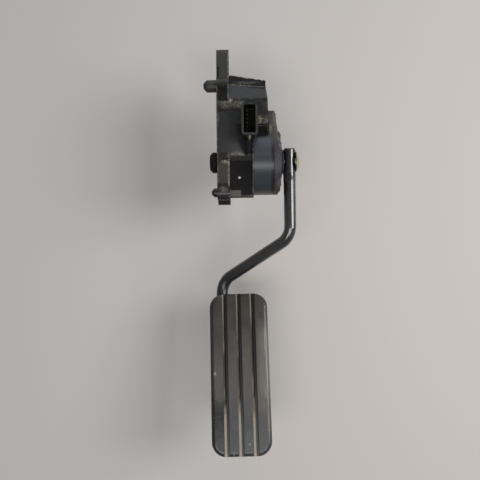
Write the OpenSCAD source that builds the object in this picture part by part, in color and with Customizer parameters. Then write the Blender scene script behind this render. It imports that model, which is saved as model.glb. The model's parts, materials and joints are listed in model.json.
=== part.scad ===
/* [Mounting flange] */
// Thickness of the flange plate
flange_t = 10; // [8:0.5:12]
// Distance between the upper and the lower fixing bolt
bolt_spacing = 112; // [108:1:118]
// Bore of each steel fixing sleeve
sleeve_bore = 6.6; // [5.5:0.1:7.5]
// Wall of each steel fixing sleeve
sleeve_wall = 1.5; // [1:0.1:2]
// Plastic left around each sleeve
lug_wall = 3.2; // [2.5:0.1:4]
// How far the third bolt lies behind the pivot
rear_bolt_y = 34; // [33:0.5:38]
// How far the third bolt lies above the pivot
rear_bolt_rise = 16; // [12:1:18]
// Diameter of the upper locating pin
upper_pin_d = 9.7; // [8:0.1:11]
// Reach of the upper locating pin past the mounting face
upper_pin_reach = 10.3; // [8:0.1:12]
// Height of the upper locating pin
upper_pin_z = 31; // [29:0.5:33]
// Diameter of the lower locating pin
lower_pin_d = 7.2; // [6:0.1:8]
// Reach of the lower locating pin past the mounting face
lower_pin_reach = 4.5; // [3.5:0.1:6]

/* [Housing] */
// Depth of the pivot below the middle of the two bolts
pivot_drop = 29; // [28:0.5:30]
// Height of the sensor block's top at the flange
block_top = 33; // [32:0.5:34]
// How far the block's top falls towards the arm
block_fall = 3; // [2:0.5:4]
// Rise of the slanted stiffening fin over the block
fin_rise = 6; // [5:0.5:7]
// Thickness of the stiffening fin and of small ribs
rib_t = 1.6; // [1.2:0.1:2]
// How far the housing reaches in front of the pivot
front_y = 22; // [21:0.5:23]
// How far the sensor block reaches behind the pivot
rear_y = 21; // [19:0.5:23]
// Wall of the moulded housing
wall = 2.8; // [2.4:0.1:3.2]
// Outer radius of the spring drum
drum_r = 27; // [26:0.5:28]
// Width of the spring drum
drum_w = 17.2; // [17.2:0.2:20]
// Drain hole in the lower box
drain_d = 2.2; // [1.5:0.1:3]

/* [Connector] */
// Width of the socket
socket_w = 9.2; // [8.5:0.1:10]
// Height of the socket
socket_h = 21.4; // [20:0.2:23]
// Wall of the connector shroud
shroud_wall = 1.7; // [1.4:0.1:2]
// How far the shroud's mouth lies in front of the pivot
mouth_y = 36.5; // [35:0.5:39]
// Depth of the socket
socket_depth = 15.5; // [14:0.5:16]
// Number of contact blades
pins = 6; // [4:1:6]
// Spacing of the contact blades
pin_pitch = 3.1; // [2.8:0.1:3.2]

/* [Pivot] */
// Diameter of the hub's left journal
shaft_d = 12; // [11:0.5:13]
// Diameter of the hub's right journal
journal_d = 18.2; // [17:0.2:19]
// Wall of the plain bushes
bush_wall = 1.8; // [1.5:0.1:2.2]
// Running clearance of the journals, on the radius
running_fit = 0.05; // [0.03:0.01:0.1]
// Clearance between parts that pass each other
gap = 0.3; // [0.25:0.05:0.4]
// Diameter of the cap on the shaft's left end
cap_d = 17; // [16:0.5:18]
// Reach of the cap past the mounting face
cap_reach = 6.5; // [5:0.5:8]
// Pedal travel in degrees
travel = 16; // [12:1:18]

/* [Side cover] */
// Thickness of the cover's rim
cover_t = 3.6; // [3.2:0.1:4.2]
// Height of the raised plateau over the rim
plateau_h = 1.6; // [1.5:0.1:2.5]
// Reach of the upper lobe above the pivot
lobe_rise = 41.8; // [40:0.5:43]
// Core diameter of the cover screws
screw_d = 3; // [2.5:0.1:3.5]

/* [Springs] */
// Wire of the outer return spring
outer_wire = 2.2; // [1.8:0.1:2.3]
// Clearance between the outer spring's coil and the drum's wall
coil_gap = 3.5; // [3:0.1:4]
// Wire of the inner return spring
inner_wire = 1.8; // [1.4:0.1:1.9]
// Turns of each spring
turns = 2.25; // [1.25:1:2.25]

/* [Arm] */
// Diameter of the rod
rod_d = 10; // [9:0.5:11]
// Width of the forged eye, from front to back
eye_w = 12; // [11.5:0.5:16]
// Rise of the eye's top above the pivot
eye_rise = 10.6; // [9.5:0.1:11.5]
// Straight drop of the rod below the pivot
rod_drop = 62.2; // [58:1:66]
// Sideways reach of the slanted run, towards the flange
rod_side = 58.2; // [54:0.1:60]
// Backward reach of the slanted run
rod_back = 37; // [34:1:39]
// Drop of the slanted run
slant_drop = 38.8; // [36:1:42]
// Centre-line radius of both bends
bend_r = 16; // [13:1:18]
// Diameter of the rivet's head
rivet_head_d = 15.5; // [14:0.5:18]
// Height of the rivet's domed head
rivet_head_h = 2.7; // [2.2:0.1:4]
// Diameter of the rivet's shank
rivet_d = 7; // [6:0.5:8]

/* [Pad] */
// Width of the pad
pad_w = 50; // [47:1:53]
// Length of the pad
pad_l = 134.5; // [128:0.5:142]
// Depth of the pad's rim
pad_t = 12; // [11:0.5:13]
// Thickness of the tread plate
pad_plate = 5.4; // [5:0.2:6]
// Corner radius of the pad's outline
pad_corner = 12; // [10:0.5:14]
// Radius of the rounded front edge
pad_edge = 4; // [3:0.5:4.5]
// Width of each groove
groove_w = 4.3; // [3.5:0.1:5]
// Depth of each groove
groove_depth = 3; // [2:0.1:3.4]
// Spacing of the grooves
groove_pitch = 12; // [11:0.5:13]
// Lean of the pad, its foot towards the driver
pad_tilt = 13; // [6:0.5:14]
// Small turn of the pad in its own plane
pad_roll = 0.8; // [0:0.1:1.5]
// Sideways place of the rod behind the pad
rod_offset = 14; // [12:0.5:15]
// Depth of the rod's centre behind the tread
rod_depth = 11; // [10.5:0.5:12.5]
// Length of the rod behind the pad
rod_seat = 98; // [80:1:110]

/* [Hidden] */
$fn = 72;

// Places along the shaft, counted from the mounting face
pivot_z = -pivot_drop;
cover_in = 1.5;
sensor_cover_t = 3;
bush_boss = 1;
board_x = cover_in + sensor_cover_t + 1.4;
board_t = 1.6;
carrier_x = board_x + board_t + 2;
carrier_t = 2.5;
collar = 1.4;
sensor_end = carrier_x + carrier_t + collar + 0.8;
drum_x = 28.1;
drum_end = drum_x + drum_w;
partition = 3;
chamber_x = drum_x + 2;
chamber_r = drum_r - wall;
pin_end = drum_x - partition;
seal_w = 2.2;
plateau_x = drum_end + cover_t;
boss_rise = 1.6;
boss_face = plateau_x + plateau_h + boss_rise;
shoulder_x = boss_face + gap;
shoulder_t = 1.5;
hub_end = shoulder_x + shoulder_t;
hub_r = 8.6;
eye_t = rod_d + 0.1;
eye_drop = 16;
eye_taper = 8;
rod_x = hub_end + eye_t / 2;
rivet_grip = 17;
washer_t = 0.6;
head_x = hub_end + eye_t + washer_t;

// The housing's outline
sleeve_d = sleeve_bore + 2 * sleeve_wall;
lug_r = sleeve_d / 2 + lug_wall;
bolts = [[0, bolt_spacing / 2], [0, -bolt_spacing / 2], [rear_bolt_y, pivot_z + rear_bolt_rise]];
upper_pin_y = -12;
lower_pin = [-17, 0.8 - bolt_spacing / 2];
block_end = 41;
top_end = 39.6;
fin_y = -10.4;
cheek_end = 23;
cheek_top = 8.6;
ledge_top = pivot_z + 3;
box_foot = pivot_z - drum_r - 1.6;
box_front = -15;
drain = [17.6, pivot_z - 14];
socket_x = 25.9;
socket_z = -0.4;
socket_floor = -mouth_y + socket_depth;
shroud_w = socket_w + 2 * shroud_wall;
shroud_h = socket_h + 2 * shroud_wall;
sensor_r = 13.4;
sensor_top = 19;
sensor_front = -12;
sensor_rear = 13.4;
carrier_r = sensor_r - 1.6;

// Contact blades
blade_x = socket_x - 1.6;
blade_y = sensor_front + 1;
blade_t = 0.7;
blade_w = 1.5;
function blade_z(i) = socket_z + (i - (pins - 1) / 2) * pin_pitch;
pin_floor = blade_z(0) - 4;

// The side cover's screws, as [y, z] from the pivot
ear_r = screw_d / 2 + 3;
lobe = [-3, lobe_rise - ear_r];
ears = [lobe, [drum_r + 3, 12], [drum_r - 2, -20]];
lobe_start = drum_end - 3.6;
lobe_edge_t = 1.4;
slope_z = 18;
screw_boss = 10;
head_sink = 0.7;
function cover_top(z) = cover_t - (cover_t - lobe_edge_t) * max(z - slope_z, 0) / (lobe_rise - slope_z);
function screw_seat(e) = cover_top(e[1]) - head_sink;

// Plug of the shaft's cap
plug_r = 3;
plug_l = 6;

// Stops and springs inside the drum
stop_w = 7;
stop_x = chamber_x + 1;
stop_t = 4;
bumper_w = 4;
bumper_r = hub_r + 6.4;
stop_r = chamber_r - 2.2;
spring_x = stop_x + stop_t + gap;
outer_spring_r = chamber_r - coil_gap - outer_wire / 2;
inner_spring_r = (hub_r + outer_spring_r - outer_wire / 2) / 2;
leg_gap = 0.6;
spring_sides = 8;
ring_step = 15;

// The rod's centre line
pad_way = [sin(pad_roll), -cos(pad_roll) * sin(pad_tilt), -cos(pad_roll) * cos(pad_tilt)];
bend_1 = [rod_x, 0, pivot_z - rod_drop];
bend_2 = bend_1 + [-rod_side, rod_back, -slant_drop];
pad_start = 12.2;
route = [[rod_x, 0, pivot_z - rod_d * 0.6], bend_1, bend_2, bend_2 + pad_way * (pad_start + rod_seat)];
bend_steps = 9;
rod_sides = 32;

// Sleeve for the rod and ribs behind the pad
sleeve_r = rod_d / 2 + 2.6;
rod_gap = 2;
rib_pitch = 22;
rib_sink = 1.5;

// An outline in the y-z plane, extruded along the shaft
module along_x(x, w) translate([x, 0, 0]) rotate([90, 0, 90]) linear_extrude(w) children();

// An outline in the x-z plane, extruded from front to back
module along_y(y, w) translate([0, y + w, 0]) rotate([90, 0, 0]) linear_extrude(w) children();

// Children drawn about the pivot, with their z axis along the shaft
module at_pivot(x) translate([x, 0, pivot_z]) rotate([90, 0, 90]) children();

// Ring with a bore, between two radii
module ring(h, outer, inner) difference() {
    cylinder(h = h, r = outer);
    translate([0, 0, -1]) cylinder(h = h + 2, r = inner);
}

function unit(v) = v / norm(v);

// Ends of the outer tangent of two circles, each given as [x, y, r], drawn a hair inside
// them so that the line crosses both arcs cleanly
hair = 0.02;
function tangent(a, b) =
    let (way = [b[0] - a[0], b[1] - a[1]], u = unit(way), s = (a[2] - b[2]) / norm(way),
        c = sqrt(1 - s * s), n = [u[1] * c + u[0] * s, u[1] * s - u[0] * c],
        from = [a[0], a[1]] + (a[2] - hair) * n, to = [b[0], b[1]] + (b[2] - hair) * n)
    [from, to];

// Outline pulled tight round circles that are listed anticlockwise
module belt(circles) {
    n = len(circles);
    polygon([for (i = [0:n - 1]) each tangent(circles[i], circles[(i + 1) % n])]);
    for (c = circles) translate([c[0], c[1]]) circle(c[2]);
}

module rounded(w, h, r) {
    square([w - 2 * r, h], center = true);
    square([w, h - 2 * r], center = true);
    for (x = [-1, 1], y = [-1, 1]) translate([x * (w / 2 - r), y * (h / 2 - r)]) circle(r);
}

// Tube of flat facets through the points of a path
function ring_at(p, way, r, sides) =
    let (u = unit(cross(way, [0, 1, 0])), v = cross(way, u))
    [for (k = [0:sides - 1]) p + r * (cos(360 * k / sides) * u + sin(360 * k / sides) * v)];
function way_at(path, i) =
    unit(path[min(i + 1, len(path) - 1)] - path[max(i - 1, 0)]);
module tube(path, r, sides) {
    n = len(path);
    skin = [for (i = [0:n - 1]) each ring_at(path[i], way_at(path, i), r, sides)];
    start = [for (k = [0:sides - 1]) k];
    end = [for (k = [0:sides - 1]) n * sides - 1 - k];
    walls = [for (i = [0:n - 2], k = [0:sides - 1])
        let (a = i * sides + k, b = i * sides + (k + 1) % sides) [a, a + sides, b + sides, b]];
    polyhedron(skin, concat([start, end], walls));
}

// Points of one bend between two straight runs
function bend_points(a, p, b, r, steps) =
    let (d1 = unit(p - a), d2 = unit(b - p), turn = acos(d1 * d2),
        inward = unit(d2 - d1 * (d1 * d2)), centre = p - d1 * r * tan(turn / 2) + inward * r)
    [for (i = [0:steps]) centre + r * (sin(turn * i / steps) * d1 - cos(turn * i / steps) * inward)];

module flange_outline() {
    belt([[0, bolt_spacing / 2, lug_r], [-12, 16, 8], [14, 16, 8]]);
    belt([[-15, 14, 6], [-15, pivot_z - 17, 6], [15, pivot_z - 17, 6], [17, 14, 6]]);
    belt([[0, -bolt_spacing / 2, lug_r], [14, pivot_z - 12, 8], [-12, pivot_z - 12, 8]]);
    belt([[lower_pin[0], lower_pin[1], 6], [0, lower_pin[1] + 6, 6], [-15, pivot_z - 14, 6]]);
    belt([[bolts[2][0], bolts[2][1], lug_r], [10, 2, 8], [10, pivot_z - 8, 8]]);
    belt([[upper_pin_y, upper_pin_z, upper_pin_d / 2 + 1.6], [0, upper_pin_z - 8, 8],
        [0, upper_pin_z + 8, 8]]);
}

module locating_pin(d, reach) {
    tip = d * 0.28;
    translate([-reach, 0, 0]) rotate([0, 90, 0]) rotate_extrude() polygon([[0, 0],
        [d / 2 - tip, 0], [d / 2, tip], [d / 2, reach + flange_t], [0, reach + flange_t]]);
}

module block_outline() polygon([[rear_y, pivot_z - 8], [rear_y, block_top - 5],
    [rear_y - 5, block_top], [-11, block_top], [-20, 19.3], [1 - front_y, 5.9],
    [1 - front_y, -1.2], [-14, -1.2], [-14, pivot_z - 8]]);

module block_face() polygon([[flange_t - 2, pivot_z - 8], [flange_t - 2, block_top],
    [top_end, block_top - block_fall], [40.6, 19.3], [block_end, 6], [block_end, pivot_z - 8]]);

module sensor_block() {
    intersection() {
        along_x(flange_t - 2, block_end) block_outline();
        along_y(-40, 80) block_face();
    }
    fin();
    for (i = [0:2]) translate([socket_x + shroud_w / 2 - 1, -front_y, -0.6 + i * 2.4])
        cube([block_end - 0.6 - socket_x - shroud_w / 2, 4, 1.1]);
}

// Slanted roof over the block, closed in front and open behind
module fin() {
    high = block_top + fin_rise;
    low = block_top + 1.2;
    foot = block_top - 4;
    along_y(fin_y, 23.4) polygon([[flange_t - 1, high], [flange_t - 1, high + rib_t],
        [top_end, low + 1.4], [top_end, foot], [top_end - rib_t, foot], [top_end - rib_t, low]]);
    along_y(fin_y, rib_t) polygon([[flange_t - 1, foot], [flange_t - 1, high + rib_t],
        [top_end, low + 1.4], [top_end, foot]]);
}

// Smooth cheek between the flange's front edge and the connector
module cheek() intersection() {
    translate([5, 22, ledge_top - 12]) cylinder(h = 80, r = front_y + 22);
    along_x(0, cheek_end) polygon([[0, ledge_top - 2], [0, 17], [-14, 16.7],
        [-front_y + 1, cheek_top], [-front_y - 3, cheek_top - 2], [-front_y - 3, ledge_top - 2]]);
}

// Box under the sensor, open below and behind, deeper past the sensor's chamber
module lower_box() {
    box_w = drum_x - flange_t + 2;
    chamber_floor = pivot_z - sensor_r - wall;
    shaft_floor = pivot_z - shaft_d / 2 - gap - wall;
    difference() {
        along_x(flange_t - 1, box_w) polygon([[-14, ledge_top + 2], [-front_y, ledge_top],
            [-front_y, ledge_top - 2.6], [box_front, ledge_top - 3.4], [box_front, box_foot],
            [12, box_foot], [12, ledge_top]]);
        translate([flange_t - 2, box_front + wall, box_foot - 1])
            cube([box_w + 2, 40, chamber_floor - box_foot + 1]);
        translate([sensor_end + 2, box_front + wall, box_foot - 1])
            cube([drum_x - seal_w - sensor_end - 2, 40, shaft_floor - box_foot + 1]);
    }
    for (y = [-4, 7]) translate([flange_t - 1, y, box_foot]) cube([drum_x - flange_t + 2, rib_t, 14]);
    translate([flange_t - 1, box_front - 1.4, box_foot]) cube([9.4, 5, 4.2]);
    translate([16.7, -front_y + 0.6, ledge_top - 1.6]) rotate([90, 0, 0]) ring(1.4, 1.7, 0.8);
}

module shroud() {
    translate([socket_x, socket_floor + 1, socket_z]) rotate([90, 0, 0])
        linear_extrude(mouth_y + socket_floor + 1) rounded(shroud_w, shroud_h, 2.6);
    along_x(socket_x - 1, 2.4) polygon([[-mouth_y + 3, socket_z - shroud_h / 2 + 1],
        [-14, socket_z - shroud_h / 2 + 1], [-14, ledge_top - 1], [-20, ledge_top - 1]]);
}

// Drum outline with the ears of the cover screws, about the pivot
module drum_outline() {
    circle(drum_r);
    belt([[lobe[0], lobe[1], ear_r], [-17, 8, 8], [15, 8, 8]]);
    for (e = [ears[1], ears[2]]) belt([[e[0], e[1], ear_r], [10, e[1] / 2 + 7, 6],
        [10, e[1] / 2 - 7, 6]]);
}

module drum() {
    at_pivot(drum_x) cylinder(h = drum_w, r = drum_r);
    at_pivot(lobe_start) linear_extrude(drum_end - lobe_start) drum_outline();
    for (e = ears) at_pivot(drum_end - screw_boss) translate(e)
        cylinder(h = screw_boss - 2, r = ear_r - 0.4);
    at_pivot(block_end - 1.2) linear_extrude(lobe_start - block_end + 2) belt([[lobe[0],
        lobe[1] - 1, ear_r - 1.2], [-14, 8, 6], [12, 8, 6]]);
    along_x(drum_x, block_end - drum_x) polygon([[-14, -1], [-14, pivot_z], [rear_y, pivot_z],
        [rear_y, -1]]);
}

module sensor_space() {
    at_pivot(cover_in) cylinder(h = sensor_end - cover_in, r = sensor_r);
    along_x(cover_in, sensor_end - cover_in) translate([sensor_front, pivot_z])
        square([sensor_rear - sensor_front, sensor_top - pivot_z]);
    along_x(cover_in, pin_end - cover_in) translate([sensor_front, pin_floor])
        square([sensor_rear - sensor_front, sensor_top - pin_floor]);
}

module housing() color("#26282b") difference() {
    union() {
        along_x(0, flange_t) flange_outline();
        sensor_block();
        cheek();
        lower_box();
        drum();
        shroud();
        translate([0, upper_pin_y, upper_pin_z]) locating_pin(upper_pin_d, upper_pin_reach);
        translate([0, lower_pin[0], lower_pin[1]]) locating_pin(lower_pin_d, lower_pin_reach);
    }
    for (b = bolts) translate([-1, b[0], b[1]]) rotate([0, 90, 0])
        cylinder(h = flange_t + 2, d = sleeve_d);
    translate([-1, -24, 38]) cube([3.2, 15, 9]);
    along_y(-17, 5) polygon([[20.5, block_top - 3.1], [block_end + 1, block_top - block_fall - 1.2],
        [block_end + 1, block_top - block_fall - 2.5]]);
    sensor_space();
    sensor_seat(cover_in - 3, sensor_cover_t + 3, 0);
    at_pivot(sensor_end - 1) cylinder(h = chamber_x - sensor_end + 2, r = shaft_d / 2 + gap);
    at_pivot(drum_x - seal_w / 2) cylinder(h = seal_w, r = shaft_d / 2 + 2.4);
    at_pivot(chamber_x) cylinder(h = drum_w, r = chamber_r);
    translate([socket_x, socket_floor, socket_z]) rotate([90, 0, 0])
        linear_extrude(socket_depth + 1) rounded(socket_w, socket_h, 1.4);
    for (i = [0:pins - 1])
        translate([blade_x - blade_t / 2, socket_floor - 1, blade_z(i) - blade_w / 2])
            cube([blade_t, sensor_front - socket_floor + 1.5, blade_w]);
    translate([drain[0], box_front - 3, drain[1]]) rotate([-90, 0, 0]) cylinder(h = 9, d = drain_d);
    for (e = ears) at_pivot(drum_end - screw_boss + 1.5) translate(e)
        cylinder(h = screw_boss, d = screw_d);
    for (x = [14, 28]) translate([x, rear_y - 4, pivot_z + 4]) cube([9, 5, 44]);
}

// Seat of the cover plate in the mounting face
module sensor_seat(x, t, shrink) {
    at_pivot(x) cylinder(h = t, r = sensor_r + 2 - shrink);
    along_x(x, t) translate([sensor_front - 1.4 + shrink, pivot_z])
        square([sensor_rear - sensor_front + 2.8 - 2 * shrink, sensor_top + 1.4 - shrink - pivot_z]);
}

module bolt_sleeves() color("#8f9296") for (b = bolts)
    translate([0, b[0], b[1]]) rotate([0, 90, 0]) ring(flange_t, sleeve_d / 2, sleeve_bore / 2);

module sensor_cover() color("#202225") difference() {
    union() {
        sensor_seat(cover_in, sensor_cover_t, 0.05);
        at_pivot(cover_in) cylinder(h = sensor_cover_t + bush_boss, r = shaft_d / 2 + bush_wall + 2);
    }
    at_pivot(cover_in - 1) cylinder(h = 9, r = shaft_d / 2 + running_fit + bush_wall);
}

module left_bush() color("#b9a77c") at_pivot(cover_in)
    ring(sensor_cover_t + bush_boss, shaft_d / 2 + running_fit + bush_wall, shaft_d / 2 + running_fit);

module shaft_seal() color("#1b1b1c") at_pivot(drum_x - seal_w / 2)
    rotate_extrude() translate([shaft_d / 2 + 0.1, 0.1]) square([2.2, seal_w - 0.2]);

module sensor_board() color("#2f5d3a") difference() {
    union() {
        at_pivot(board_x) cylinder(h = board_t, r = sensor_r - 1);
        along_x(board_x, board_t) translate([sensor_front + 1, pivot_z])
            square([sensor_rear - sensor_front - 2, sensor_top - pivot_z - 1]);
    }
    at_pivot(board_x - 1) cylinder(h = board_t + 2, r = shaft_d / 2 + bush_wall + 0.6);
    for (i = [0:pins - 1]) translate([board_x - 1, blade_y - blade_t / 2, blade_z(i) - blade_w / 2])
        cube([board_t + 2, blade_t, blade_w]);
}

module connector_pins() color("#c9b070") for (i = [0:pins - 1]) translate([0, 0, blade_z(i) - blade_w / 2]) {
    translate([blade_x - blade_t / 2, socket_floor - 7, 0])
        cube([blade_t, blade_y + blade_t / 2 - socket_floor + 7, blade_w]);
    translate([board_x - 0.6, blade_y - blade_t / 2, 0])
        cube([blade_x + blade_t / 2 - board_x + 0.6, blade_t, blade_w]);
}

module side_cover() color("#2b2d30") difference() {
    union() {
        intersection() {
            at_pivot(drum_end) linear_extrude(cover_t) drum_outline();
            along_y(-60, 120) polygon([[drum_end - 1, -100], [drum_end + cover_t, -100],
                [drum_end + cover_t, pivot_z + slope_z], [drum_end + lobe_edge_t,
                pivot_z + lobe_rise], [drum_end - 1, pivot_z + lobe_rise]]);
        }
        at_pivot(drum_end) cylinder(h = cover_t + plateau_h, r = drum_r - 2.2);
        at_pivot(drum_end) cylinder(h = boss_face - drum_end, r = journal_d / 2 + bush_wall + 3);
        for (a = [-60:30:240]) at_pivot(plateau_x - 1) rotate([0, 0, a])
            translate([12, -rib_t / 2, 0]) cube([drum_r - 15, rib_t, plateau_h + 1.7]);
    }
    at_pivot(drum_end - 1) cylinder(h = 12, r = journal_d / 2 + running_fit + bush_wall);
    for (e = ears) {
        at_pivot(drum_end - 1) translate(e) cylinder(h = cover_t + 2, d = screw_d + 0.4);
        at_pivot(drum_end + screw_seat(e)) translate(e) cylinder(h = cover_t, r = screw_d * 0.9 + gap);
    }
}

module cover_screws() color("#77797c") for (e = ears) at_pivot(drum_end) translate(e) {
    reach = screw_boss - 2;
    head_h = screw_d * 0.6;
    translate([0, 0, -reach]) cylinder(h = screw_seat(e) + reach, d = screw_d - 0.2);
    translate([0, 0, screw_seat(e)]) difference() {
        cylinder(h = head_h, d = screw_d * 1.8);
        translate([0, 0, head_h / 2]) cylinder(h = head_h, d = screw_d * 0.7, $fn = 6);
    }
}

module right_bush() color("#b9a77c") at_pivot(drum_end + 0.4) ring(boss_face - drum_end - 0.4,
    journal_d / 2 + running_fit + bush_wall, journal_d / 2 + running_fit);

module friction_washer() color("#d8d2c0") at_pivot(drum_end - 1.8)
    ring(1.7, chamber_r - 1, journal_d / 2 + 0.4);

// Torsion spring: a coil with one leg outwards to the housing and one inwards to the hub
module torsion_spring(x, wire, mean_r, start, out_r, in_r) {
    pitch = wire * 1.12;
    steps = turns * 360 / ring_step;
    coil = [for (i = [0:steps]) let (a = start + i * ring_step)
        [mean_r * cos(a), mean_r * sin(a), i / steps * turns * pitch]];
    last = coil[steps];
    finish = start + turns * 360;
    leg_in = [in_r * cos(start), in_r * sin(start), 0];
    leg_out = [out_r * cos(finish), out_r * sin(finish), last[2]];
    at_pivot(x + wire / 2) wire_through(concat([leg_in], coil, [leg_out]), wire / 2);
}
function flat_ring(p, way, r) =
    let (u = unit(cross(way, [0, 0, 1])), v = cross(way, u))
    [for (k = [0:spring_sides - 1]) p + r * (cos(360 * k / spring_sides) * u
        + sin(360 * k / spring_sides) * v)];
module wire_through(path, r) {
    n = len(path);
    s = spring_sides;
    skin = [for (i = [0:n - 1]) each flat_ring(path[i], way_at(path, i), r)];
    faces = [for (i = [0:n - 2], k = [0:s - 1]) let (a = i * s + k, b = i * s + (k + 1) % s)
        [a, a + s, b + s, b]];
    polyhedron(skin, concat([[for (k = [0:s - 1]) k]], [[for (k = [0:s - 1]) n * s - 1 - k]], faces));
}

module outer_spring() color("#6f7378")
    torsion_spring(spring_x, outer_wire, outer_spring_r, 250, chamber_r - gap,
        inner_spring_r + inner_wire / 2 + leg_gap);
module inner_spring() color("#6f7378")
    torsion_spring(spring_x + 1, inner_wire, inner_spring_r, 200,
        outer_spring_r - outer_wire / 2 - leg_gap, hub_r + inner_wire / 2 + leg_gap);

// Rubber stop between the drum wall and the hub's lug
module bumper(side) at_pivot(stop_x + 0.3) rotate([0, 0, side > 0 ? 0 : travel])
    translate([side > 0 ? stop_w / 2 + gap : -stop_w / 2 - gap - bumper_w, bumper_r, 0])
        cube([bumper_w, chamber_r - bumper_r - 1.4, stop_t - 0.6]);
module idle_bumper() color("#3a3a3a") bumper(1);
module full_travel_bumper() color("#3a3a3a") bumper(-1);

module spring_hub() color("#34373a") difference() {
    union() {
        at_pivot(0.8) cylinder(h = chamber_x + gap - 0.8, r = shaft_d / 2);
        at_pivot(chamber_x + gap) cylinder(h = drum_end - 2 - chamber_x - gap, r = hub_r);
        at_pivot(drum_end - 2.1) cylinder(h = shoulder_x - drum_end + 2.5, r = journal_d / 2);
        at_pivot(shoulder_x) rotate_extrude() polygon([[0, 0], [eye_rise - 1, 0],
            [eye_rise - 0.5, 0.5], [eye_rise - 0.5, shoulder_t - 0.5], [eye_rise - 1, shoulder_t],
            [0, shoulder_t]]);
        at_pivot(stop_x) translate([-stop_w / 2, hub_r / 2, 0])
            cube([stop_w, stop_r - hub_r / 2, stop_t]);
    }
    at_pivot(hub_end - rivet_grip - 1) cylinder(h = rivet_grip + 2, d = rivet_d);
    at_pivot(0) cylinder(h = plug_l + 1, r = plug_r);
}

module shaft_cap() color("#17181a") at_pivot(-cap_reach) rotate_extrude() {
    edge = 2.4;
    polygon([[0, 0], [cap_d / 2 - edge, 0], [cap_d / 2, edge], [cap_d / 2, cap_reach - 0.9],
        [cap_d / 2 - 0.9, cap_reach], [shaft_d / 2 - 0.6, cap_reach],
        [shaft_d / 2 - 0.6, cap_reach + 0.8], [plug_r, cap_reach + 0.8],
        [plug_r, cap_reach + plug_l], [0, cap_reach + plug_l]]);
}

module wiper_carrier() color("#d9d4c6") at_pivot(carrier_x) difference() {
    union() {
        cylinder(h = carrier_t, r = carrier_r);
        cylinder(h = carrier_t + collar, r = shaft_d / 2 + 2);
    }
    translate([0, 0, -1]) cylinder(h = carrier_t + collar + 2, r = shaft_d / 2);
}

module wiper_contacts() color("#c9a35a") for (i = [0:3]) at_pivot(board_x + board_t + gap)
    rotate([0, 0, 190 + i * 30]) translate([8.8 + (i % 2) * 1.5, -0.8, 0]) {
        cube([1, 1.6, carrier_x - board_x - board_t - gap]);
        translate([0, -2.4, 0]) cube([1, 2.6, 0.4]);
    }

// Forged end of the rod: as thick as the rod, wider from front to back, with a round front
// and back, a chamfered top and a foot that runs into the rod
module eye() translate([rod_x, 0, pivot_z]) intersection() {
    half = eye_w / 2;
    edge = 1.2;
    translate([0, 0, -eye_drop]) linear_extrude(eye_drop + eye_rise) {
        square([eye_t, eye_w - eye_t], center = true);
        for (y = [-1, 1]) translate([0, y * (half - eye_t / 2)]) circle(eye_t / 2);
    }
    along_x(-eye_t, 2 * eye_t) polygon([[-half + edge, eye_rise], [-half - 1, eye_rise - edge - 1],
        [-half - 1, eye_taper - eye_drop], [-rod_d / 2 + 0.5, -eye_drop], [rod_d / 2 - 0.5, -eye_drop],
        [half + 1, eye_taper - eye_drop], [half + 1, eye_rise - edge - 1], [half - edge, eye_rise]]);
    along_y(-eye_w, 2 * eye_w) polygon([[-eye_t / 2 + edge, eye_rise], [-eye_t / 2 - 1,
        eye_rise - edge - 1], [-eye_t / 2 - 1, -eye_drop], [eye_t / 2 + 1, -eye_drop],
        [eye_t / 2 + 1, eye_rise - edge - 1], [eye_t / 2 - edge, eye_rise]]);
}

module arm_rod() color("#1d1f21") difference() {
    union() {
        tube(concat([route[0]], bend_points(route[0], route[1], route[2], bend_r, bend_steps),
            bend_points(route[1], route[2], route[3], bend_r, bend_steps), [route[3]]),
            rod_d / 2, rod_sides);
        eye();
    }
    at_pivot(hub_end - 1) cylinder(h = eye_t + 2, d = rivet_d);
}

module pivot_rivet() color("#b79a55") {
    at_pivot(hub_end - rivet_grip) cylinder(h = head_x - hub_end + rivet_grip + 0.5, d = rivet_d);
    dome_r = (rivet_head_d * rivet_head_d / 4 + rivet_head_h * rivet_head_h) / (2 * rivet_head_h);
    at_pivot(head_x) intersection() {
        translate([0, 0, rivet_head_h - dome_r]) sphere(dome_r);
        cylinder(h = 2 * rivet_head_h, d = rivet_head_d);
    }
}

module rivet_washer() color("#a8a79f") at_pivot(hub_end + eye_t)
    ring(washer_t, rivet_head_d / 2 + 0.6, rivet_d / 2);

// Pad frame: its origin on the tread's top edge, x across, y backwards, z up along the pad
module on_pad() translate(bend_2) rotate([-pad_tilt, 0, 0]) rotate([0, -pad_roll, 0])
    translate([rod_offset, -rod_depth, -pad_start]) children();

module pad_shell() translate([0, 0, -pad_l / 2]) hull()
    for (x = [-1, 1], z = [-1, 1])
        translate([x * (pad_w / 2 - pad_corner), 0, z * (pad_l / 2 - pad_corner)])
            rotate([-90, 0, 0]) rotate_extrude($fn = 48) polygon([[0, 0],
                for (i = [0:5]) [pad_corner - pad_edge + pad_edge * sin(18 * i),
                    pad_edge - pad_edge * cos(18 * i)],
                [pad_corner - 0.6, pad_t], [0, pad_t]]);

module pad_pocket() difference() {
    inner_w = pad_w - 2 * wall;
    inner_l = pad_l - 2 * wall;
    translate([0, pad_t + 1, -pad_l / 2]) rotate([90, 0, 0]) linear_extrude(pad_t - pad_plate + 1)
        rounded(inner_w, inner_l, pad_corner - wall);
    for (z = [-rib_pitch:-rib_pitch:pad_corner - pad_l]) translate([-pad_w / 2, 0, z])
        cube([pad_w, pad_t - rib_sink, rib_t]);
    for (x = [rod_gap, rod_gap + pad_corner]) translate([x, 0, -pad_l])
        cube([rib_t, pad_t - rib_sink, pad_l]);
}

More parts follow.
